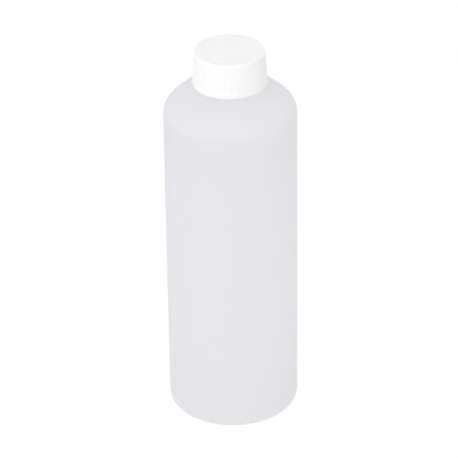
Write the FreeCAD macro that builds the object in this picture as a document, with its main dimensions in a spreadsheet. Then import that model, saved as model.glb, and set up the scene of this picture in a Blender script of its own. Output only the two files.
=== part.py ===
"""Narrow-necked plastic reagent bottle with a ribbed, lined screw cap.

The bottle stands on Z = 0 with its axis on +Z. Sizes are millimetres and degrees.
"""
import FreeCAD, Part
import math
import os
import re

import Sketcher

# Driving dimensions: name, value, what it measures.
DIMENSIONS = (
    ("body_radius", 32.5, "outside of the straight wall"),
    ("body_wall", 1.1, "wall thickness of the body and shoulder"),
    ("base_wall", 1.5, "thickness of the base"),
    ("base_corner", 4.5, "outside radius of the base's edge"),
    ("inner_corner", 3.2, "inside radius of the base's edge"),
    ("foot_inner", 24.0, "inner radius of the standing ring"),
    ("push_up", 3.0, "rise of the base inside the standing ring"),
    ("shoulder_start", 162.8, "top of the straight wall"),
    ("shoulder_arc", 10.0, "outside radius of the rounded shoulder"),
    ("shoulder_slope", 42.0, "slope of the shoulder's cone"),
    ("ledge_height", 179.55, "height of the flat ledge around the neck's foot"),
    ("ledge_round", 1.0, "rounding of the ledge's outer edge"),
    ("neck_outside", 14.65, "outside of the neck, at the thread's root"),
    ("neck_bore", 12.4, "bore of the neck"),
    ("neck_fillet", 1.2, "hollow where the ledge meets the neck"),
    ("neck_top", 194.0, "height of the sealing land"),
    ("lip_round", 0.5, "rounding of the mouth's two edges"),
    ("bead_radius", 16.2, "outside of the transfer bead"),
    ("bead_bottom", 181.2, "height of the bead's lower face"),
    ("bead_height", 1.4, "height of the bead"),
    ("bead_chamfer", 0.4, "chamfer of the bead's edges"),
    ("thread_pitch", 4.23, "rise of the thread in one turn"),
    ("thread_start", 185.9, "height of the lower end of the neck's thread"),
    ("thread_turns", 1.5, "turns of the neck's thread"),
    ("thread_depth", 1.2, "height of the neck's thread"),
    ("thread_foot", 2.2, "width of the neck's thread at its root"),
    ("thread_crest", 0.9, "width of the neck's thread at its crest"),
    ("thread_drop", 1.65, "how far the cap's thread lies under the neck's"),
    ("thread_sink", 0.2, "how deep a thread is rooted in its wall"),
    ("fade_angle", 35.0, "angle over which a thread's end runs out"),
    ("fade_step", 0.03, "height that is left at the very end of a thread"),
    ("fade_zone", 3.0, "height of the space around a thread's end"),
    ("cap_height", 17.1, "height of the cap"),
    ("cap_rim_radius", 18.3, "outside of the cap at its rim"),
    ("cap_top_radius", 17.1, "where the cap's side would meet its top"),
    ("cap_edge", 0.6, "rounding of the cap's top edge"),
    ("cap_plate", 1.4, "thickness of the cap's top at its edge"),
    ("cap_bore", 16.15, "inside of the cap, at the thread's root"),
    ("groove_outer", 14.5, "outer edge of the shallow groove in the cap's top"),
    ("groove_middle", 13.2, "radius of that groove's deepest line"),
    ("groove_inner", 11.9, "inner edge of that groove"),
    ("groove_depth", 0.2, "depth of that groove"),
    ("relief_radius", 16.9, "inside of the cap's skirt around the bead"),
    ("relief_height", 2.6, "height of that wider space"),
    ("rim_round", 0.3, "rounding of the rim's outer edge"),
    ("rib_count", 72, "ribs around the cap"),
    ("rib_bottom", 2.8, "lower end of the ribs, above the rim"),
    ("rib_top", 13.8, "upper end of the ribs, above the rim"),
    ("valley_depth", 0.2, "depth of the valley between two ribs"),
    ("valley_mouth", 1.0, "width of that valley at the ribs' crests"),
    ("valley_floor", 0.3, "width of that valley at its floor"),
    ("valley_reach", 0.15, "how far the valley's cutter stands out"),
    ("cap_thread_turns", 1.25, "turns of the cap's thread"),
    ("cap_thread_depth", 1.15, "height of the cap's thread"),
    ("cap_thread_foot", 1.9, "width of the cap's thread at its root"),
    ("cap_thread_crest", 0.8, "width of the cap's thread at its crest"),
    ("liner_radius", 15.8, "radius of both layers of the liner"),
    ("backing_height", 1.2, "thickness of the foamed backing"),
    ("facing_height", 0.25, "thickness of the facing film"),
)
SHEET = "Dimensions"
FULL_TURN = 360
MOUTH_OVERRUN = "1"
LEAST_CHANGE = 0.01
NEAR = 1e-6

# How a sketch refers to its own axes, its origin and the two ends of an edge.
ACROSS_AXIS = -1
UP_AXIS = -2
ORIGIN = (-1, 1)
START = 1
END = 2
LEFT = 1
RIGHT = -1

# Which way a thread's ridge stands on its wall.
OUTWARD = 1
INWARD = -1

# Lengths that follow from the driving ones.
DOME = "((foot_inner ^ 2 + push_up ^ 2) / (2 * push_up))"
LINER_TOP = "(neck_top + facing_height + backing_height)"
CAP_BOTTOM = f"({LINER_TOP} + cap_plate - cap_height)"
CAP_TAPER = "atan((cap_rim_radius - cap_top_radius) / cap_height)"
CAP_THREAD_START = f"(thread_start - thread_drop - {CAP_BOTTOM})"

doc = FreeCAD.newDocument("ReagentBottle")
sheet = doc.addObject("Spreadsheet::Sheet", SHEET)


def fill_sheet():
    """Each row holds a dimension's name, its value and what it measures."""
    for row, (name, value, meaning) in enumerate(DIMENSIONS, start=1):
        sheet.set(f"A{row}", name)
        sheet.set(f"B{row}", str(value))
        sheet.setAlias(f"B{row}", name)
        sheet.set(f"C{row}", meaning)
    doc.recompute()


def sized(expression):
    """The expression with every dimension's name pointed at the sheet."""
    return re.sub(r"\b[a-z]+(?:_[a-z]+)+\b", lambda name: f"{SHEET}.{name.group()}", expression)


def size(expression):
    """The expression's present value."""
    return float(sheet.evalExpression(expression))


def new_body(label):
    body = doc.addObject("PartDesign::Body", label)
    body.Label = label
    return body


def new_sketch(body, name, role, height=None):
    """Sketch on one of the body's own planes, raised by height along the plane's normal."""
    sketch = body.newObject("Sketcher::SketchObject", name)
    plane = next(item for item in body.Origin.OriginFeatures if item.Role == role)
    sketch.AttachmentSupport = [(plane, "")]
    sketch.MapMode = "FlatFace"
    if height is not None:
        sketch.setExpression("AttachmentOffset.Base.z", sized(height))
    return sketch


def bind(sketch, constraint, name, expression):
    """Add a constraint whose value is the expression."""
    index = sketch.addConstraint(constraint)
    sketch.renameConstraint(index, name)
    sketch.setExpression(f"Constraints.{name}", sized(expression))


def arc_between(start, end, radius, turn):
    """Arc from start to end, turning LEFT or RIGHT, shorter than a half circle."""
    chord = end - start
    middle = (start + end) * 0.5
    leftward = FreeCAD.Vector(-chord.y, chord.x, 0).normalize()
    rise = math.sqrt(radius ** 2 - (chord.Length / 2) ** 2)
    centre = middle + leftward * (turn * rise)
    first, last = (start, end) if turn == LEFT else (end, start)
    angles = [math.atan2(point.y - centre.y, point.x - centre.x) for point in (first, last)]
    return Part.ArcOfCircle(Part.Circle(centre, FreeCAD.Vector(0, 0, 1), radius), *angles)


def draw_edges(sketch, points, arcs):
    """Draw an edge from each point to the next; list each edge with its first and last end."""
    edges = []
    for number, start in enumerate(points):
        end = points[(number + 1) % len(points)]
        if number not in arcs:
            edges.append((sketch.addGeometry(Part.LineSegment(start, end)), START, END))
            continue
        radius, turn = arcs[number]
        edge = sketch.addGeometry(arc_between(start, end, size(radius), turn))
        edges.append((edge, START, END) if turn == LEFT else (edge, END, START))
    return edges


def bind_corner(sketch, edge, end, number, corner, point):
    """Hold an edge's end at a corner given by two expressions."""
    ways = (
        (corner[0], "DistanceX", "across", UP_AXIS, point.x),
        (corner[1], "DistanceY", "up", ACROSS_AXIS, point.y),
    )
    for expression, kind, name, axis, distance in ways:
        if expression == "0":
            sketch.addConstraint(Sketcher.Constraint("PointOnObject", edge, end, axis))
        else:
            constraint = Sketcher.Constraint(kind, *ORIGIN, edge, end, distance)
            bind(sketch, constraint, f"{name}_{number}", expression)


def draw_outline(sketch, corners, arcs=None):
    """Closed outline through corners, each a pair of expressions.

    arcs gives, for the number of the corner that an arc starts from, its radius and its turn.
    """
    arcs = arcs or {}
    points = [FreeCAD.Vector(size(across), size(up), 0) for across, up in corners]
    edges = draw_edges(sketch, points, arcs)
    for number, (edge, first, last) in enumerate(edges):
        following, following_first, _ = edges[(number + 1) % len(edges)]
        joined = Sketcher.Constraint("Coincident", edge, last, following, following_first)
        sketch.addConstraint(joined)
        bind_corner(sketch, edge, first, number, corners[number], points[number])
    for number, (radius, _) in arcs.items():
        constraint = Sketcher.Constraint("Radius", edges[number][0], size(radius))
        bind(sketch, constraint, f"radius_{number}", radius)
    doc.recompute()


def turned(body, kind, sketch, name):
    """Revolution or Groove of a sketch about the bottle's axis."""
    feature = body.newObject(f"PartDesign::{kind}", name)
    feature.Profile = sketch
    feature.ReferenceAxis = (sketch, ["V_Axis"])
    feature.Angle = FULL_TURN
    doc.recompute()


def rounded(body, name, radius, chosen):
    """Fillet on the edges of the body's tip that the test picks."""
    tip = body.Tip
    names = [f"Edge{number}" for number, edge in enumerate(tip.Shape.Edges, start=1) if chosen(edge)]
    feature = body.newObject("PartDesign::Fillet", name)
    feature.Base = (tip, names)
    feature.setExpression("Radius", sized(radius))
    doc.recompute()


def circle_at(height, radius=None):
    """Test for a full circle about the axis at a height and, if given, of a radius."""
    def test(edge):
        if edge.Degenerated or not edge.isClosed() or not isinstance(edge.Curve, Part.Circle):
            return False
        wanted_radius = edge.Curve.Radius if radius is None else size(radius)
        right_height = abs(edge.Curve.Center.z - size(height)) < NEAR
        return right_height and abs(edge.Curve.Radius - wanted_radius) < NEAR
    return test


def thread(body, name, start, wall, depth, foot, crest, turns, side):
    """One right-hand ridge wound on a wall, from azimuth 0 upwards."""
    slope = f"(({foot} - {crest}) / 2 / {depth})"
    rooted = f"{wall} - {side} * thread_sink"
    tip = f"{wall} + {side} * {depth}"
    half_root = f"({foot} / 2 + {slope} * thread_sink)"
    half_tip = f"{crest} / 2"
    section = new_sketch(body, f"{name}_section", "XZ_Plane")
    draw_outline(section, (
        (rooted, f"{start} - {half_root}"),
        (tip, f"{start} - {half_tip}"),
        (tip, f"{start} + {half_tip}"),
        (rooted, f"{start} + {half_root}"),
    ))
    ridge = body.newObject("PartDesign::AdditiveHelix", name)
    ridge.Profile = section
    ridge.ReferenceAxis = (section, ["V_Axis"])
    ridge.Mode = "pitch-turns-angle"
    ridge.setExpression("Pitch", sized("thread_pitch"))
    ridge.setExpression("Turns", sized(turns))
    doc.recompute()


def fade(body, name, height, end_angle, into, wall, depth, side):
    """Cut a thread's end back so that it rises from its wall along an arc.

    The thread ends at end_angle and lies to the LEFT of it, by the right-hand rule, or to the
    RIGHT. The arc touches the wall at the end and reaches the crest fade_angle later.
    """
    low = f"({wall} + {side} * fade_step)"
    high = f"({wall} + {side} * ({depth} + fade_step))"
    clear = f"({wall} + {side} * 2 * {depth})"
    crest_angle = f"({end_angle} + {into} * fade_angle)"
    chord = f"({low} - {high} * cos(fade_angle))"
    arc_radius = f"((({high} * sin(fade_angle)) ^ 2 + {chord} ^ 2) / (2 * {chord}))"
    path = [(low, end_angle), (high, crest_angle), (clear, crest_angle), (clear, end_angle)]
    corners = [(f"{radius} * cos({angle})", f"{radius} * sin({angle})") for radius, angle in path]
    plan = new_sketch(body, f"{name}_plan", "XY_Plane", f"{height} + fade_zone / 2")
    draw_outline(plan, corners, {0: (arc_radius, into)})
    cut = body.newObject("PartDesign::Pocket", name)
    cut.Profile = plan
    cut.setExpression("Length", sized("fade_zone"))
    doc.recompute()


def fade_ends(body, name, start, wall, depth, turns, side):
    """Run both ends of a thread out into its wall."""
    rise = f"(fade_angle / 2 / {FULL_TURN} * thread_pitch)"
    lower = f"({start} + {rise})"
    upper = f"({start} + {turns} * thread_pitch - {rise})"
    fade(body, f"{name}_lower_end", lower, "0", LEFT, wall, depth, side)
    fade(body, f"{name}_upper_end", upper, f"({turns} * {FULL_TURN})", RIGHT, wall, depth, side)


def make_bottle():
    """Hollow bottle, revolved, with a wound thread on its neck."""
    body = new_body("bottle_body")

    cone_across = "(body_radius - shoulder_arc * (1 - sin(shoulder_slope)))"
    cone_up = "(shoulder_start + shoulder_arc * cos(shoulder_slope))"
    ledge_across = f"({cone_across} - (ledge_height - {cone_up}) / tan(shoulder_slope))"
    ledge_cut = "(ledge_round * tan(shoulder_slope / 2))"
    bead_top = "(bead_bottom + bead_height)"
    outside = new_sketch(body, "outside", "XZ_Plane")
    draw_outline(outside, (
        ("0", "push_up"),
        ("foot_inner", "0"),
        ("body_radius - base_corner", "0"),
        ("body_radius", "base_corner"),
        ("body_radius", "shoulder_start"),
        (cone_across, cone_up),
        (f"{ledge_across} + {ledge_cut} * cos(shoulder_slope)",
         f"ledge_height - {ledge_cut} * sin(shoulder_slope)"),
        (f"{ledge_across} - {ledge_cut}", "ledge_height"),
        ("neck_outside + neck_fillet", "ledge_height"),
        ("neck_outside", "ledge_height + neck_fillet"),
        ("neck_outside", "bead_bottom"),
        ("bead_radius - bead_chamfer", "bead_bottom"),
        ("bead_radius", "bead_bottom + bead_chamfer"),
        ("bead_radius", f"{bead_top} - bead_chamfer"),
        ("bead_radius - bead_chamfer", bead_top),
        ("neck_outside", bead_top),
        ("neck_outside", "neck_top"),
        ("0", "neck_top"),
    ), {
        0: (DOME, RIGHT),
        2: ("base_corner", LEFT),
        4: ("shoulder_arc", LEFT),
        6: ("ledge_round", LEFT),
        8: ("neck_fillet", RIGHT),
    })
    turned(body, "Revolution", outside, "bottle_outside")

    inner_arc = "(shoulder_arc - body_wall)"
    inner_across = f"(body_radius - shoulder_arc + {inner_arc} * sin(shoulder_slope))"
    inner_up = f"(shoulder_start + {inner_arc} * cos(shoulder_slope))"
    inner_ledge = "(ledge_height - body_wall)"
    inside = new_sketch(body, "inside", "XZ_Plane")
    draw_outline(inside, (
        ("0", "push_up + base_wall"),
        ("foot_inner", "base_wall"),
        ("body_radius - body_wall - inner_corner", "base_wall"),
        ("body_radius - body_wall", "base_wall + inner_corner"),
        ("body_radius - body_wall", "shoulder_start"),
        (inner_across, inner_up),
        (f"{inner_across} - ({inner_ledge} - {inner_up}) / tan(shoulder_slope)", inner_ledge),
        ("neck_bore", inner_ledge),
        ("neck_bore", f"neck_top + {MOUTH_OVERRUN}"),
        ("0", f"neck_top + {MOUTH_OVERRUN}"),
    ), {0: (DOME, RIGHT), 2: ("inner_corner", LEFT), 4: (inner_arc, LEFT)})
    turned(body, "Groove", inside, "bottle_inside")
    rounded(body, "mouth_edges", "lip_round", circle_at("neck_top"))

    start, wall, depth, turns = "thread_start", "neck_outside", "thread_depth", "thread_turns"
    thread(body, "neck_thread", start, wall, depth, "thread_foot", "thread_crest", turns, OUTWARD)
    fade_ends(body, "neck_thread", start, wall, depth, turns, OUTWARD)
    return body


def make_cap():
    """Tapered cap, revolved, with valleys cut between its ribs and a thread wound inside."""
    body = new_body("screw_cap")
    edge = f"(cap_edge / tan(45 deg + {CAP_TAPER} / 2))"
    section = new_sketch(body, "section", "XZ_Plane")
    draw_outline(section, (
        ("0", "cap_height"),
        ("groove_inner", "cap_height"),
        ("groove_middle", "cap_height - groove_depth"),
        ("groove_outer", "cap_height"),
        (f"cap_top_radius - {edge}", "cap_height"),
        (f"cap_top_radius + {edge} * sin({CAP_TAPER})", f"cap_height - {edge} * cos({CAP_TAPER})"),
        ("cap_rim_radius", "0"),
        ("relief_radius", "0"),
        ("relief_radius", "relief_height"),
        ("cap_bore", "relief_height + relief_radius - cap_bore"),
        ("cap_bore", "cap_height - cap_plate"),
        ("0", "cap_height - cap_plate"),
    ), {4: ("cap_edge", RIGHT)})
    turned(body, "Revolution", section, "cap_shell")
    rounded(body, "rim_edge", "rim_round", circle_at("0", "cap_rim_radius"))

    ends = []
    for name, height in (("valley_low", "rib_bottom"), ("valley_high", "rib_top")):
        crest = f"(cap_rim_radius - (cap_rim_radius - cap_top_radius) * {height} / cap_height)"
        flare = "(valley_mouth + (valley_mouth - valley_floor) * valley_reach / valley_depth)"
        plan = new_sketch(body, name, "XY_Plane", height)
        draw_outline(plan, (
            (f"{crest} - valley_depth", "-valley_floor / 2"),
            (f"{crest} + valley_reach", f"-{flare} / 2"),
            (f"{crest} + valley_reach", f"{flare} / 2"),
            (f"{crest} - valley_depth", "valley_floor / 2"),
        ))
        ends.append(plan)
    valley = body.newObject("PartDesign::SubtractiveLoft", "valley")
    valley.Profile = ends[0]
    valley.Sections = [ends[1]]
    doc.recompute()
    valleys = body.newObject("PartDesign::PolarPattern", "valleys")
    valleys.Originals = [valley]
    valleys.Axis = (ends[0], ["N_Axis"])
    valleys.Angle = FULL_TURN
    valleys.setExpression("Occurrences", sized("rib_count"))
    body.Tip = valleys
    doc.recompute()

    start, wall, depth, turns = CAP_THREAD_START, "cap_bore", "cap_thread_depth", "cap_thread_turns"
    thread(body, "cap_thread", start, wall, depth, "cap_thread_foot", "cap_thread_crest", turns, INWARD)
    fade_ends(body, "cap_thread", start, wall, depth, turns, INWARD)
    body.setExpression("Placement.Base.z", sized(CAP_BOTTOM))
    doc.recompute()
    return body


def make_disc(label, bottom, height):
    """Round layer of the liner, lying on the axis."""
    disc = doc.addObject("Part::Cylinder", label)
    disc.Label = label
    disc.setExpression("Radius", sized("liner_radius"))
    disc.setExpression("Height", sized(height))
    disc.setExpression("Placement.Base.z", sized(bottom))
    doc.recompute()
    return disc


def check_document(pieces):
    """Stop if anything failed, is invalid, or if a feature of a body changed nothing."""
    for item in doc.Objects:
        if {"Invalid", "Error"} & set(item.State):
            raise RuntimeError(f"{item.Name} failed: {item.State}")
        base = getattr(item, "BaseFeature", None)
        if base is not None and abs(item.Shape.Volume - base.Shape.Volume) < LEAST_CHANGE:
            raise RuntimeError(f"{item.Name} changes nothing")
    for piece in pieces:
        shape = piece.Shape
        if shape.isNull() or not shape.isValid() or len(shape.Solids) != 1:
            raise RuntimeError(f"{piece.Label} is not one valid solid")


def main():
    fill_sheet()
    pieces = [
        make_bottle(),
        make_cap(),
        make_disc("liner_facing", "neck_top", "facing_height"),
        make_disc("liner_backing", "neck_top + facing_height", "backing_height"),
    ]
    check_document(pieces)
    os.makedirs("parts", exist_ok=True)
    for piece in pieces:
        piece.Shape.exportStep(os.path.join("parts", f"{piece.Label}.step"))
        print(f"{piece.Label}: {piece.Shape.Volume / 1000:.2f} cm3")


main()
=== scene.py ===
"""Milky plastic reagent bottle with a ribbed screw cap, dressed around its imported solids.

Lengths are metres. The bottle stands on Z = 0 with its axis on +Z.
"""
import math

import bmesh
import bpy
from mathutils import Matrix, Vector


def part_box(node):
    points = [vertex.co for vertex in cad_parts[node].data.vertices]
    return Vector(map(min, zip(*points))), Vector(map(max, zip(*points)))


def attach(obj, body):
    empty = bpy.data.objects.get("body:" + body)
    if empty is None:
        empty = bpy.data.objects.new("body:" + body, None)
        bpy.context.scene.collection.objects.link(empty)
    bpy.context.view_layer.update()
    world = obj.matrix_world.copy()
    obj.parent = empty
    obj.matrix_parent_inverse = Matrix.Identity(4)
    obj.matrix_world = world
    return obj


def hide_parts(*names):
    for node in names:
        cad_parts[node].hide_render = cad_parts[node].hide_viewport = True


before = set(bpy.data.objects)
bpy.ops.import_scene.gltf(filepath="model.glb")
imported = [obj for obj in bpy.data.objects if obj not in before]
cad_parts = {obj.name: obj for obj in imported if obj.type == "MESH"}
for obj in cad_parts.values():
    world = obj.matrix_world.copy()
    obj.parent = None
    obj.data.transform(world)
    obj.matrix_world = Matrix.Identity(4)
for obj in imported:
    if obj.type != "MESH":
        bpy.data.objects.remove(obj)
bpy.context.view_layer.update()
MM = 0.001
FULL_TURN = 2 * math.pi

# Sizes read from the frame
BOTTLE_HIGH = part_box("bottle_body")[1]
CAP_LOW, CAP_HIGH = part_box("screw_cap")
BACKING_LOW, BACKING_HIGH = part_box("liner_backing")
FACING_LOW, FACING_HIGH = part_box("liner_facing")
BODY_RADIUS = BOTTLE_HIGH[0]
NECK_TOP = BOTTLE_HIGH[2]
CAP_BOTTOM = CAP_LOW[2]
CAP_TOP = CAP_HIGH[2]
CAP_HEIGHT = CAP_TOP - CAP_BOTTOM
LINER_RADIUS = FACING_HIGH[0]

# Bottle
BODY_WALL = 1.1 * MM
BASE_WALL = 1.5 * MM
BASE_CORNER = 4.5 * MM
INNER_CORNER = 3.2 * MM
FOOT_INNER = 24 * MM
PUSH_UP = 3 * MM
SHOULDER_START = 162.8 * MM
SHOULDER_ARC = 10 * MM
SHOULDER_SLOPE = math.radians(42)
LEDGE_HEIGHT = 179.55 * MM
LEDGE_ROUND = 1 * MM
NECK_OUTSIDE = 14.65 * MM
NECK_BORE = 12.4 * MM
NECK_FILLET = 1.2 * MM
LIP_ROUND = 0.5 * MM
BEAD_RADIUS = 16.2 * MM
BEAD_BOTTOM = 181.2 * MM
BEAD_HEIGHT = 1.4 * MM
BEAD_ROUND = 0.4 * MM

# Marks that the two mould halves leave
PARTING_ANGLE = math.radians(-45)
PARTING_RISE = 0.12 * MM
PINCH_OFF_LENGTH = 19 * MM
PINCH_OFF_WIDTH = 0.7 * MM
PINCH_OFF_DROP = 0.35 * MM

# Screw threads
THREAD_PITCH = 4.23 * MM
THREAD_START = 185.9 * MM
THREAD_DROP = 1.65 * MM
THREAD_SINK = 0.25 * MM
FADE_ANGLE = math.radians(35)
NECK_THREAD_DEPTH = 1.2 * MM
NECK_THREAD_FOOT = 2.2 * MM
NECK_THREAD_CREST = 0.9 * MM
NECK_THREAD_TURNS = 1.5
CAP_THREAD_DEPTH = 1.15 * MM
CAP_THREAD_FOOT = 1.9 * MM
CAP_THREAD_CREST = 0.8 * MM
CAP_THREAD_TURNS = 1.25

# Cap
CAP_RIM_RADIUS = 18.3 * MM
CAP_TOP_RADIUS = 17.1 * MM
CAP_EDGE = 0.6 * MM
CAP_PLATE = 1.4 * MM
CAP_BORE = 16.15 * MM
GROOVE_OUTER = 14.5 * MM
GROOVE_INNER = 11.9 * MM
GROOVE_DEPTH = 0.14 * MM
RELIEF_RADIUS = 16.9 * MM
RELIEF_HEIGHT = 2.6 * MM
RIM_BAND = 1.2 * MM
RIM_ROUND = 0.3 * MM
RIB_COUNT = 72
RIB_BOTTOM = 2.8 * MM
RIB_TOP = 13.8 * MM
RIB_RUN_OUT = 0.35 * MM
VALLEY_DEPTH = 0.18 * MM
GATE_RADIUS = 0.9 * MM
GATE_DEPTH = 0.05 * MM
GATE_NUB = 0.3 * MM

# Liner
LINER_EDGE = 0.08 * MM
PRESSED_INNER = 12.6 * MM
PRESSED_OUTER = 14.5 * MM
PRESSED_DEPTH = 0.05 * MM

# Fineness of the meshes
BOTTLE_COLUMNS = 360
COLUMNS_PER_RIB = 8
CAP_COLUMNS = RIB_COUNT * COLUMNS_PER_RIB
LINER_COLUMNS = 180
THREAD_STEPS_PER_TURN = 120
WALL_STEPS = 24
SHOULDER_STEPS = 12
DOME_STEPS = 12
GROOVE_STEPS = 12
CAP_EDGE_STEPS = 10
CORNER_STEPS = 8
NECK_STEPS = 8
FILLET_STEPS = 6
PLATE_STEPS = 6
RIB_STEPS = 6
ROUND_STEPS = 4
LINER_ROUND_STEPS = 3
POLE_RING = 1 * MM
RING_MARGIN = 0.01 * MM
MERGE_DISTANCE = 0.001 * MM
BOTTLE_SMOOTH_ANGLE = math.radians(35)
CAP_SMOOTH_ANGLE = math.radians(40)
LINER_SMOOTH_ANGLE = math.radians(40)

# Moulded skin
STREAK_STRETCH = (1, 1, 0.06)
STREAK_DETAIL = 3.0
CLOUD_SCALE = 28.0
CLOUD_DETAIL = 4.0
GRAIN_DETAIL = 2.0
GRAIN_SHARE = 0.35
MOTTLE_LOW = 0.12
MOTTLE_HIGH = 0.42
BUMP_DISTANCE = 0.1 * MM
MIX_COLOUR_A = 6
MIX_COLOUR_B = 7
MIX_COLOUR_RESULT = 2

# Light: azimuth 0 is in front and positive to the right, in degrees
AMBIENT = 0.87
KEY_SOFTBOX = {"azimuth": -25, "elevation": 33, "distance": 1.3, "size": 0.45, "power": 3.85}
SIDE_SOFTBOX = {"azimuth": 37, "elevation": 30, "distance": 1.3, "size": 0.3, "power": 0.35}
FLOOR_SIZE = 8
FLOOR_DROP = 0.1 * MM
FLOOR_COLOUR = (0.86, 0.86, 0.86, 1)
FLOOR_GLOW = 0.8
FLOOR_GLOW_STRENGTH = 1.06
WHITE = (1, 1, 1, 1)

# Camera, fitted to the photograph
LENS = 224.8
SENSOR = 36.0
CLIP_END = 20
AIM = (-1.35 * MM, 0, 97.5 * MM)
AIM_DISTANCE = 1.4169
CAMERA_ELEVATION = math.radians(30.62)
CAMERA_ROLL = math.radians(-0.76)


def deselect_all():
    if bpy.context.mode != "OBJECT":
        bpy.ops.object.mode_set(mode="OBJECT")
    bpy.ops.object.select_all(action="DESELECT")


def pick(test):
    """Select the vertices of the edited mesh whose index and place pass the test."""
    mesh = bmesh.from_edit_mesh(bpy.context.edit_object.data)
    for vertex in mesh.verts:
        vertex.select_set(False)
    mesh.select_flush(False)
    for vertex in mesh.verts:
        if test(vertex.index, vertex.co):
            vertex.select_set(True)
    mesh.select_flush_mode()
    bmesh.update_edit_mesh(bpy.context.edit_object.data)


def scale_radially(factor):
    bpy.ops.transform.resize(value=(factor, factor, 1), center_override=(0, 0, 0))


def radius_of(place):
    return math.hypot(place.x, place.y)


def arc(centre, radius, start, end, steps):
    """Points of an arc in the (radius, height) plane, angles in degrees from outward."""
    angles = [math.radians(start + (end - start) * step / steps) for step in range(steps + 1)]
    return [(centre[0] + radius * math.cos(a), centre[1] + radius * math.sin(a)) for a in angles]


def between(start, end, steps):
    """Points that divide a straight stretch, both ends left out."""
    shares = [step / steps for step in range(1, steps)]
    return [(start[0] + (end[0] - start[0]) * s, start[1] + (end[1] - start[1]) * s) for s in shares]


def lathe(name, outline, columns, first_pole, last_pole):
    """Draw a ring out through an outline of (radius, height) points and close it at both poles."""
    deselect_all()
    bpy.ops.mesh.primitive_circle_add(vertices=columns, radius=outline[0][0], location=(0, 0, 0))
    piece = bpy.context.object
    piece.name = name
    piece.data.name = name
    bpy.ops.object.mode_set(mode="EDIT")
    bpy.ops.mesh.select_all(action="SELECT")
    bpy.ops.transform.translate(value=(0, 0, outline[0][1]))
    for here, there in zip(outline, outline[1:]):
        rise = there[1] - here[1]
        bpy.ops.mesh.extrude_region_move(TRANSFORM_OT_translate={"value": (0, 0, rise)})
        scale_radially(there[0] / here[0])
    close_pole(last_pole - outline[-1][1])
    pick(lambda index, place: index < columns)
    close_pole(first_pole - outline[0][1])
    bpy.ops.mesh.select_all(action="SELECT")
    bpy.ops.mesh.normals_make_consistent(inside=False)
    return piece


def close_pole(rise):
    """Close the selected ring with a fan whose tip stands off the ring by rise."""
    bpy.ops.mesh.extrude_region_move(TRANSFORM_OT_translate={"value": (0, 0, rise)})
    bpy.ops.mesh.merge(type="CENTER")


def dome_height(radius):
    """Height of the pushed-up base's outside at a radius."""
    dome = (FOOT_INNER ** 2 + PUSH_UP ** 2) / (2 * PUSH_UP)
    return PUSH_UP - dome + math.sqrt(dome ** 2 - radius ** 2)


def dome_rings(rise):
    """Rings of the base from near the pole out to the standing ring, raised by rise."""
    width = FOOT_INNER - POLE_RING
    radii = [POLE_RING + width * step / DOME_STEPS for step in range(DOME_STEPS + 1)]
    return [(radius, dome_height(radius) + rise) for radius in radii]


def bottle_outside():
    """Outline from the middle of the base up the outside to the lip."""
    slope = math.degrees(SHOULDER_SLOPE)
    corner_centre = (BODY_RADIUS - BASE_CORNER, BASE_CORNER)
    corner = arc(corner_centre, BASE_CORNER, -90, 0, CORNER_STEPS)
    shoulder_centre = (BODY_RADIUS - SHOULDER_ARC, SHOULDER_START)
    shoulder = arc(shoulder_centre, SHOULDER_ARC, 0, 90 - slope, SHOULDER_STEPS)
    cone_foot = shoulder[-1]
    ledge_edge = cone_foot[0] - (LEDGE_HEIGHT - cone_foot[1]) / math.tan(SHOULDER_SLOPE)
    ledge_inset = LEDGE_ROUND * math.tan(SHOULDER_SLOPE / 2)
    ledge_centre = (ledge_edge - ledge_inset, LEDGE_HEIGHT - LEDGE_ROUND)
    ledge = arc(ledge_centre, LEDGE_ROUND, 90 - slope, 90, FILLET_STEPS)
    fillet_centre = (NECK_OUTSIDE + NECK_FILLET, LEDGE_HEIGHT + NECK_FILLET)
    fillet = arc(fillet_centre, NECK_FILLET, 270, 180, FILLET_STEPS)
    bead_top = BEAD_BOTTOM + BEAD_HEIGHT
    bead_low = (BEAD_RADIUS - BEAD_ROUND, BEAD_BOTTOM + BEAD_ROUND)
    bead_high = (BEAD_RADIUS - BEAD_ROUND, bead_top - BEAD_ROUND)
    lip = (NECK_OUTSIDE - LIP_ROUND, NECK_TOP - LIP_ROUND)
    return [
        *dome_rings(0),
        *corner,
        *between(corner[-1], shoulder[0], WALL_STEPS),
        *shoulder,
        *between(cone_foot, ledge[0], NECK_STEPS),
        *ledge,
        *fillet,
        (NECK_OUTSIDE, BEAD_BOTTOM),
        *arc(bead_low, BEAD_ROUND, -90, 0, ROUND_STEPS),
        *arc(bead_high, BEAD_ROUND, 0, 90, ROUND_STEPS),
        (NECK_OUTSIDE, bead_top),
        *between((NECK_OUTSIDE, bead_top), (NECK_OUTSIDE, lip[1]), NECK_STEPS),
        *arc(lip, LIP_ROUND, 0, 90, ROUND_STEPS),
    ]


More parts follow.
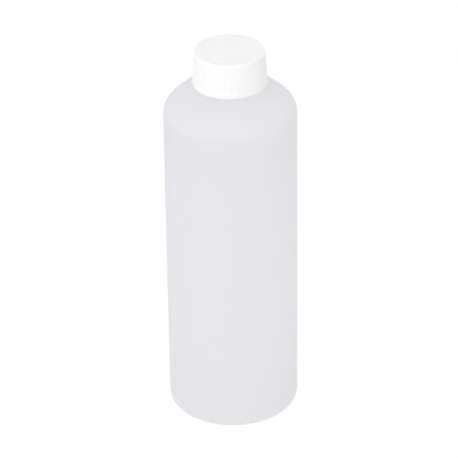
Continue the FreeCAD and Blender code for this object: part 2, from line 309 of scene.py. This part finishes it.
def bottle_inside():
    """Outline from the lip down the inside to the middle of the base."""
    slope = math.degrees(SHOULDER_SLOPE)
    lip = (NECK_BORE + LIP_ROUND, NECK_TOP - LIP_ROUND)
    bore_foot = (NECK_BORE, LEDGE_HEIGHT - BODY_WALL)
    shoulder_centre = (BODY_RADIUS - SHOULDER_ARC, SHOULDER_START)
    shoulder = arc(shoulder_centre, SHOULDER_ARC - BODY_WALL, 90 - slope, 0, SHOULDER_STEPS)
    cone_rise = bore_foot[1] - shoulder[0][1]
    cone_top = (shoulder[0][0] - cone_rise / math.tan(SHOULDER_SLOPE), bore_foot[1])
    corner_centre = (BODY_RADIUS - BODY_WALL - INNER_CORNER, BASE_WALL + INNER_CORNER)
    corner = arc(corner_centre, INNER_CORNER, 0, -90, CORNER_STEPS)
    return [
        *arc(lip, LIP_ROUND, 90, 180, ROUND_STEPS),
        *between((NECK_BORE, lip[1]), bore_foot, NECK_STEPS),
        bore_foot,
        *between(bore_foot, cone_top, ROUND_STEPS),
        cone_top,
        *between(cone_top, shoulder[0], NECK_STEPS),
        *shoulder,
        *between(shoulder[-1], corner[0], WALL_STEPS),
        *corner,
        *reversed(dome_rings(BASE_WALL)),
    ]


def in_parting_plane(place, width):
    """Is the place within a width of the vertical plane where the mould halves meet?"""
    across = place.x * math.sin(PARTING_ANGLE) - place.y * math.cos(PARTING_ANGLE)
    return abs(across) < width / 2


def raise_mould_marks(outside_count):
    """Parting line up both sides, and the pinched seam across the base."""
    half_column = BODY_RADIUS * math.pi / BOTTLE_COLUMNS

    def on_wall(index, place):
        if index >= outside_count or not BASE_CORNER / 2 < place.z <= NECK_TOP - 2 * LIP_ROUND:
            return False
        reach = radius_of(place)
        return reach > FOOT_INNER / 2 and in_parting_plane(place, half_column * reach / BODY_RADIUS)

    def on_base(place):
        reach = radius_of(place)
        if reach > PINCH_OFF_LENGTH or place.z > dome_height(reach) + BASE_WALL / 2:
            return False
        return in_parting_plane(place, PINCH_OFF_WIDTH)

    pick(on_wall)
    scale_radially(1 + PARTING_RISE / BODY_RADIUS)
    pick(lambda index, place: on_base(place))
    bpy.ops.transform.translate(value=(0, 0, -PINCH_OFF_DROP))


def wind_thread(name, start, wall, tip, foot, crest, turns):
    """Closed ridge wound up a wall from +X, its ends run out into the wall.

    foot and crest are its widths at the wall and at its tip.
    """
    side = 1 if tip > wall else -1
    slope = (foot - crest) / 2 / abs(tip - wall)
    rooted = wall - side * THREAD_SINK
    half_root = foot / 2 + slope * THREAD_SINK
    section = [(rooted, -half_root), (tip, -crest / 2), (tip, crest / 2), (rooted, half_root)]
    deselect_all()
    bpy.ops.mesh.primitive_circle_add(vertices=len(section), radius=MM, location=(0, 0, 0))
    ridge = bpy.context.object
    ridge.name = name
    bpy.ops.object.mode_set(mode="EDIT")
    for corner, (across, up) in enumerate(section):
        pick(lambda index, place: index == corner)
        here = bmesh.from_edit_mesh(ridge.data).verts[:][corner].co.copy()
        bpy.ops.transform.translate(value=(across - here.x, -here.y, start + up - here.z))
    bpy.ops.object.mode_set(mode="OBJECT")
    steps = round(THREAD_STEPS_PER_TURN * turns)
    screw = ridge.modifiers.new("wound", "SCREW")
    screw.axis = "Z"
    screw.angle = FULL_TURN * turns
    screw.screw_offset = THREAD_PITCH * turns
    screw.steps = steps
    screw.render_steps = steps
    screw.use_smooth_shade = True
    bpy.ops.object.modifier_apply(modifier=screw.name)
    bpy.ops.object.mode_set(mode="EDIT")
    run_out(len(section), steps, wall, tip)
    for ring in (0, steps):
        pick(lambda index, place: index // len(section) == ring)
        bpy.ops.mesh.edge_face_add()
    bpy.ops.mesh.select_all(action="SELECT")
    bpy.ops.mesh.normals_make_consistent(inside=False)
    bpy.ops.object.mode_set(mode="OBJECT")
    return ridge


def run_out(corners, steps, wall, tip):
    """Sink the ridge's crest, the second and third corners of its section, towards both ends."""
    crest = (1, 2)
    fade_steps = round(THREAD_STEPS_PER_TURN * FADE_ANGLE / FULL_TURN)
    for step in range(fade_steps):
        share = math.sin(math.pi / 2 * step / fade_steps)
        rings = (step, steps - step)
        height = wall + (tip - wall) * share
        pick(lambda index, place: index // corners in rings and index % corners in crest)
        scale_radially(height / tip)


def unite(piece, ridge):
    """Join a ridge to the wall that it stands on."""
    deselect_all()
    bpy.context.view_layer.objects.active = piece
    piece.select_set(True)
    union = piece.modifiers.new("united", "BOOLEAN")
    union.operation = "UNION"
    union.solver = "EXACT"
    union.object = ridge
    bpy.ops.object.modifier_apply(modifier=union.name)
    bpy.data.objects.remove(ridge)
    bpy.ops.object.mode_set(mode="EDIT")
    bpy.ops.mesh.select_all(action="SELECT")
    bpy.ops.mesh.remove_doubles(threshold=MERGE_DISTANCE)
    bpy.ops.object.mode_set(mode="OBJECT")


def smooth(piece, angle):
    deselect_all()
    bpy.context.view_layer.objects.active = piece
    piece.select_set(True)
    bpy.ops.object.shade_smooth_by_angle(angle=angle)


def make_bottle():
    outside = bottle_outside()
    outline = outside + bottle_inside()
    bottle = lathe("bottle", outline, BOTTLE_COLUMNS, PUSH_UP, PUSH_UP + BASE_WALL)
    raise_mould_marks(len(outside) * BOTTLE_COLUMNS)
    bpy.ops.object.mode_set(mode="OBJECT")
    thread = wind_thread(
        "neck_thread", THREAD_START, NECK_OUTSIDE, NECK_OUTSIDE + NECK_THREAD_DEPTH,
        NECK_THREAD_FOOT, NECK_THREAD_CREST, NECK_THREAD_TURNS)
    unite(bottle, thread)
    smooth(bottle, BOTTLE_SMOOTH_ANGLE)
    return bottle


def cap_side(height):
    """Radius of the cap's tapered side at a height above its rim."""
    return CAP_RIM_RADIUS - (CAP_RIM_RADIUS - CAP_TOP_RADIUS) * height / CAP_HEIGHT


def groove():
    """Rings of the shallow rounded groove in the cap's top, from its inner edge out."""
    shares = [step / GROOVE_STEPS for step in range(GROOVE_STEPS + 1)]
    depths = [GROOVE_DEPTH * (1 - math.cos(FULL_TURN * share)) / 2 for share in shares]
    radii = [GROOVE_INNER + (GROOVE_OUTER - GROOVE_INNER) * share for share in shares]
    return [(radius, CAP_TOP - depth) for radius, depth in zip(radii, depths)]


def cap_outline():
    """Outline from the middle of the top down the outside and up the inside to the ceiling."""
    taper = math.degrees(math.atan((CAP_RIM_RADIUS - CAP_TOP_RADIUS) / CAP_HEIGHT))
    tangent = CAP_EDGE / math.tan(math.radians(45 + taper / 2))
    edge_centre = (CAP_TOP_RADIUS - tangent, CAP_TOP - CAP_EDGE)
    ribbed = [RIB_TOP - (RIB_TOP - RIB_BOTTOM) * step / RIB_STEPS for step in range(RIB_STEPS + 1)]
    side = [RIB_TOP + RIB_RUN_OUT, *ribbed, RIB_BOTTOM - RIB_RUN_OUT, RIM_BAND]
    rim_centre = (CAP_RIM_RADIUS - RIM_ROUND, CAP_BOTTOM + RIM_ROUND)
    step_top = CAP_BOTTOM + RELIEF_HEIGHT + RELIEF_RADIUS - CAP_BORE
    ceiling = CAP_TOP - CAP_PLATE
    bore = (CAP_BORE, ceiling)
    return [
        (GATE_NUB, CAP_TOP),
        (GATE_NUB, CAP_TOP - GATE_DEPTH),
        (GATE_RADIUS - GATE_DEPTH, CAP_TOP - GATE_DEPTH),
        (GATE_RADIUS, CAP_TOP),
        *between((GATE_RADIUS, CAP_TOP), (GROOVE_INNER, CAP_TOP), PLATE_STEPS),
        *groove(),
        *arc(edge_centre, CAP_EDGE, 90, taper, CAP_EDGE_STEPS),
        *((cap_side(height), CAP_BOTTOM + height) for height in side),
        *arc(rim_centre, RIM_ROUND, 0, -90, ROUND_STEPS),
        (RELIEF_RADIUS + RIM_ROUND / 2, CAP_BOTTOM),
        (RELIEF_RADIUS, CAP_BOTTOM + RIM_ROUND / 2),
        (RELIEF_RADIUS, CAP_BOTTOM + RELIEF_HEIGHT),
        (CAP_BORE, step_top),
        *between((CAP_BORE, step_top), bore, PLATE_STEPS),
        bore,
        *between(bore, (POLE_RING, ceiling), PLATE_STEPS),
        (POLE_RING, ceiling),
    ]


def sink_valleys():
    """Press the valleys between the ribs into the cap's side, column by column."""
    low = CAP_BOTTOM + RIB_BOTTOM - RING_MARGIN
    high = CAP_BOTTOM + RIB_TOP + RING_MARGIN
    inside = (CAP_BORE + CAP_TOP_RADIUS) / 2

    def column_of(place):
        return round(math.atan2(place.y, place.x) / FULL_TURN * CAP_COLUMNS) % COLUMNS_PER_RIB

    for column in range(1, COLUMNS_PER_RIB):
        depth = VALLEY_DEPTH * (1 - math.cos(FULL_TURN * column / COLUMNS_PER_RIB)) / 2
        pick(lambda index, place: low < place.z < high and radius_of(place) > inside
             and column_of(place) == column)
        scale_radially(1 - depth / cap_side((RIB_BOTTOM + RIB_TOP) / 2))


def make_cap():
    cap = lathe("cap", cap_outline(), CAP_COLUMNS, CAP_TOP, CAP_TOP - CAP_PLATE)
    sink_valleys()
    bpy.ops.object.mode_set(mode="OBJECT")
    thread = wind_thread(
        "cap_thread", THREAD_START - THREAD_DROP, CAP_BORE, CAP_BORE - CAP_THREAD_DEPTH,
        CAP_THREAD_FOOT, CAP_THREAD_CREST, CAP_THREAD_TURNS)
    unite(cap, thread)
    smooth(cap, CAP_SMOOTH_ANGLE)
    return cap


def make_disc(name, low, high, pressed_depth):
    """Layer of the liner with rounded edges, pressed in where the mouth bears on it."""
    edge = LINER_RADIUS - LINER_EDGE
    pressed_start = (PRESSED_INNER - 2 * LINER_EDGE, low)
    outline = [
        (POLE_RING, low),
        *between((POLE_RING, low), pressed_start, PLATE_STEPS),
        pressed_start,
        (PRESSED_INNER, low + pressed_depth),
        (PRESSED_OUTER, low + pressed_depth),
        (PRESSED_OUTER + 2 * LINER_EDGE, low),
        *arc((edge, low + LINER_EDGE), LINER_EDGE, -90, 0, LINER_ROUND_STEPS),
        *arc((edge, high - LINER_EDGE), LINER_EDGE, 0, 90, LINER_ROUND_STEPS),
        *between((edge, high), (POLE_RING, high), PLATE_STEPS),
        (POLE_RING, high),
    ]
    disc = lathe(name, outline, LINER_COLUMNS, low, high)
    smooth(disc, LINER_SMOOTH_ANGLE)
    return disc


def new_group(name, inputs, outputs):
    group = bpy.data.node_groups.new(name, "ShaderNodeTree")
    for label, kind, value in inputs:
        socket = group.interface.new_socket(label, in_out="INPUT", socket_type=kind)
        socket.default_value = value
    for label, kind in outputs:
        group.interface.new_socket(label, in_out="OUTPUT", socket_type=kind)
    return group


def add_node(tree, kind, **values):
    """New node; a value goes to the input of that name, or else to the setting of that name."""
    node = tree.nodes.new(kind)
    for name, value in values.items():
        label = name.replace("_", " ").title()
        if label in node.inputs:
            node.inputs[label].default_value = value
        else:
            setattr(node, name, value)
    return node


def moulded_skin():
    """Flow streaks along the draw, faint clouding and a fine matt grain of moulded plastic."""
    group = new_group(
        "moulded_skin",
        (("Tint", "NodeSocketColor", WHITE), ("Clouded Tint", "NodeSocketColor", WHITE),
         ("Grain Scale", "NodeSocketFloat", 900.0), ("Streak Scale", "NodeSocketFloat", 90.0),
         ("Smooth", "NodeSocketFloat", 0.3), ("Rough", "NodeSocketFloat", 0.45)),
        (("Color", "NodeSocketColor"), ("Roughness", "NodeSocketFloat"),
         ("Height", "NodeSocketFloat")),
    )
    link = group.links.new
    entry = group.nodes.new("NodeGroupInput")
    leave = group.nodes.new("NodeGroupOutput")
    place = group.nodes.new("ShaderNodeTexCoord")
    drawn = add_node(group, "ShaderNodeMapping", scale=STREAK_STRETCH)
    streaks = add_node(group, "ShaderNodeTexNoise", detail=STREAK_DETAIL)
    clouds = add_node(group, "ShaderNodeTexNoise", scale=CLOUD_SCALE, detail=CLOUD_DETAIL)
    grain = add_node(group, "ShaderNodeTexNoise", detail=GRAIN_DETAIL)
    link(place.outputs["Object"], drawn.inputs["Vector"])
    link(drawn.outputs["Vector"], streaks.inputs["Vector"])
    link(place.outputs["Object"], clouds.inputs["Vector"])
    link(place.outputs["Object"], grain.inputs["Vector"])
    link(entry.outputs["Streak Scale"], streaks.inputs["Scale"])
    link(entry.outputs["Grain Scale"], grain.inputs["Scale"])

    mottle = add_node(group, "ShaderNodeMath", operation="MULTIPLY")
    link(streaks.outputs["Fac"], mottle.inputs[0])
    link(clouds.outputs["Fac"], mottle.inputs[1])
    spread = add_node(group, "ShaderNodeMapRange", from_min=MOTTLE_LOW, from_max=MOTTLE_HIGH)
    link(mottle.outputs["Value"], spread.inputs["Value"])
    tint = add_node(group, "ShaderNodeMix", data_type="RGBA")
    link(spread.outputs["Result"], tint.inputs["Factor"])
    link(entry.outputs["Tint"], tint.inputs[MIX_COLOUR_A])
    link(entry.outputs["Clouded Tint"], tint.inputs[MIX_COLOUR_B])
    link(tint.outputs[MIX_COLOUR_RESULT], leave.inputs["Color"])

    sheen = add_node(group, "ShaderNodeMapRange")
    link(clouds.outputs["Fac"], sheen.inputs["Value"])
    link(entry.outputs["Smooth"], sheen.inputs["To Min"])
    link(entry.outputs["Rough"], sheen.inputs["To Max"])
    link(sheen.outputs["Result"], leave.inputs["Roughness"])

    relief = add_node(group, "ShaderNodeMath", operation="MULTIPLY_ADD")
    relief.inputs[1].default_value = GRAIN_SHARE
    link(grain.outputs["Fac"], relief.inputs[0])
    link(streaks.outputs["Fac"], relief.inputs[2])
    link(relief.outputs["Value"], leave.inputs["Height"])
    return group


def plastic(name, skin, tint, clouded_tint, roughness, grain, bump, **sockets):
    """Plastic with the moulded skin; sockets are the shader's own values."""
    material = bpy.data.materials.new(name)
    material.use_nodes = True
    tree = material.node_tree
    shader = tree.nodes["Principled BSDF"]
    surface = tree.nodes.new("ShaderNodeGroup")
    surface.node_tree = skin
    surface.inputs["Tint"].default_value = (*tint, 1)
    surface.inputs["Clouded Tint"].default_value = (*clouded_tint, 1)
    surface.inputs["Smooth"].default_value = roughness[0]
    surface.inputs["Rough"].default_value = roughness[1]
    surface.inputs["Grain Scale"].default_value = grain
    relief = add_node(tree, "ShaderNodeBump", strength=bump, distance=BUMP_DISTANCE)
    tree.links.new(surface.outputs["Color"], shader.inputs["Base Color"])
    tree.links.new(surface.outputs["Roughness"], shader.inputs["Roughness"])
    tree.links.new(surface.outputs["Height"], relief.inputs["Height"])
    tree.links.new(relief.outputs["Normal"], shader.inputs["Normal"])
    for label, value in sockets.items():
        shader.inputs[label.replace("_", " ")].default_value = value
    return material


def let_light_through(material, colour, share):
    """Let a share of the light pass through each face, scattered."""
    tree = material.node_tree
    through = add_node(tree, "ShaderNodeBsdfTranslucent", color=(*colour, 1))
    mixed = add_node(tree, "ShaderNodeMixShader", fac=share)
    tree.links.new(tree.nodes["Principled BSDF"].outputs["BSDF"], mixed.inputs[1])
    tree.links.new(through.outputs["BSDF"], mixed.inputs[2])
    tree.links.new(mixed.outputs["Shader"], tree.nodes["Material Output"].inputs["Surface"])


def dress(piece, material, body, node):
    piece.data.materials.clear()
    piece.data.materials.append(material)
    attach(piece, body)
    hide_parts(node)


def shown_directly(tree):
    """Socket that is 1 on rays that show a thing to the camera, straight or by gloss or glass."""
    path = tree.nodes.new("ShaderNodeLightPath")
    direct = add_node(tree, "ShaderNodeMath", operation="MAXIMUM")
    shown = add_node(tree, "ShaderNodeMath", operation="MAXIMUM")
    tree.links.new(path.outputs["Is Camera Ray"], direct.inputs[0])
    tree.links.new(path.outputs["Is Glossy Ray"], direct.inputs[1])
    tree.links.new(direct.outputs["Value"], shown.inputs[0])
    tree.links.new(path.outputs["Is Transmission Ray"], shown.inputs[1])
    return shown.outputs["Value"]


def make_floor():
    """Pale floor that shows white to the camera and keeps the bottle's faint shadow."""
    deselect_all()
    bpy.ops.mesh.primitive_plane_add(size=FLOOR_SIZE, location=(0, 0, -FLOOR_DROP))
    floor = bpy.context.object
    floor.name = "floor"
    material = bpy.data.materials.new("pale_floor")
    material.use_nodes = True
    tree = material.node_tree
    tree.nodes.clear()
    matt = add_node(tree, "ShaderNodeBsdfDiffuse", color=FLOOR_COLOUR)
    glow = add_node(tree, "ShaderNodeEmission", strength=FLOOR_GLOW_STRENGTH)
    share = add_node(tree, "ShaderNodeMath", operation="MULTIPLY")
    share.inputs[1].default_value = FLOOR_GLOW
    mixed = tree.nodes.new("ShaderNodeMixShader")
    output = tree.nodes.new("ShaderNodeOutputMaterial")
    tree.links.new(shown_directly(tree), share.inputs[0])
    tree.links.new(share.outputs["Value"], mixed.inputs["Fac"])
    tree.links.new(matt.outputs["BSDF"], mixed.inputs[1])
    tree.links.new(glow.outputs["Emission"], mixed.inputs[2])
    tree.links.new(mixed.outputs["Shader"], output.inputs["Surface"])
    # The glow only shows the floor as white, so the floor isn't sampled as a lamp.
    material.cycles.emission_sampling = "NONE"
    floor.data.materials.append(material)


def light_world():
    """Even white surroundings; the camera and reflections see them at full white."""
    world = bpy.data.worlds.new("light_tent")
    bpy.context.scene.world = world
    world.use_nodes = True
    tree = world.node_tree
    tree.nodes.clear()
    lit = add_node(tree, "ShaderNodeBackground", color=WHITE, strength=AMBIENT)
    seen = add_node(tree, "ShaderNodeBackground", color=WHITE, strength=1.0)
    mixed = tree.nodes.new("ShaderNodeMixShader")
    output = tree.nodes.new("ShaderNodeOutputWorld")
    tree.links.new(shown_directly(tree), mixed.inputs["Fac"])
    tree.links.new(lit.outputs["Background"], mixed.inputs[1])
    tree.links.new(seen.outputs["Background"], mixed.inputs[2])
    tree.links.new(mixed.outputs["Shader"], output.inputs["Surface"])


def add_softbox(name, azimuth, elevation, distance, size, power):
    """Square lamp that looks at the middle of the bottle."""
    turn, lift = math.radians(azimuth), math.radians(elevation)
    away = (math.sin(turn) * math.cos(lift), -math.cos(turn) * math.cos(lift), math.sin(lift))
    lamp = bpy.data.lights.new(name, "AREA")
    lamp.shape = "SQUARE"
    lamp.size = size
    lamp.energy = power
    holder = bpy.data.objects.new(name, lamp)
    bpy.context.scene.collection.objects.link(holder)
    holder.location = [AIM[axis] + distance * away[axis] for axis in range(3)]
    holder.rotation_euler = (math.pi / 2 - lift, 0, turn)


def set_camera():
    lens = bpy.data.cameras.new("camera")
    lens.lens = LENS
    lens.sensor_width = SENSOR
    lens.clip_end = CLIP_END
    camera = bpy.data.objects.new("camera", lens)
    bpy.context.scene.collection.objects.link(camera)
    back = AIM_DISTANCE * math.cos(CAMERA_ELEVATION)
    up = AIM_DISTANCE * math.sin(CAMERA_ELEVATION)
    camera.location = (AIM[0], AIM[1] - back, AIM[2] + up)
    camera.rotation_mode = "ZXY"
    camera.rotation_euler = (math.pi / 2 - CAMERA_ELEVATION, 0, 0)
    camera.rotation_euler.rotate_axis("Z", CAMERA_ROLL)
    bpy.context.scene.camera = camera


def main():
    skin = moulded_skin()
    milky = plastic(
        "milky_bottle_plastic", skin, tint=(0.912, 0.911, 0.919), clouded_tint=(0.892, 0.891, 0.899),
        roughness=(0.3, 0.38), grain=700.0, bump=0.12)
    let_light_through(milky, colour=(0.9385, 0.9345, 0.944), share=0.8)
    white = plastic(
        "white_cap_plastic", skin, tint=(0.908, 0.908, 0.903), clouded_tint=(0.893, 0.893, 0.888),
        roughness=(0.32, 0.42), grain=1100.0, bump=0.06,
        Subsurface_Weight=0.8, Subsurface_Radius=(1.0, 1.0, 1.0), Subsurface_Scale=0.5 * MM)
    foam = plastic(
        "liner_foam", skin, tint=(0.88, 0.88, 0.86), clouded_tint=(0.84, 0.84, 0.82),
        roughness=(0.7, 0.9), grain=2200.0, bump=0.6)
    film = plastic(
        "liner_film", skin, tint=(0.9, 0.905, 0.91), clouded_tint=(0.88, 0.885, 0.89),
        roughness=(0.12, 0.22), grain=500.0, bump=0.08)
    dress(make_bottle(), milky, "bottle", "bottle_body")
    dress(make_cap(), white, "cap", "screw_cap")
    backing = make_disc("liner_backing_disc", BACKING_LOW[2], BACKING_HIGH[2], 0)
    dress(backing, foam, "liner", "liner_backing")
    facing = make_disc("liner_facing_disc", FACING_LOW[2], FACING_HIGH[2], PRESSED_DEPTH)
    dress(facing, film, "liner", "liner_facing")
    make_floor()
    light_world()
    add_softbox("key_softbox", **KEY_SOFTBOX)
    add_softbox("side_softbox", **SIDE_SOFTBOX)
    set_camera()
    bpy.context.scene.view_settings.view_transform = "Standard"


main()
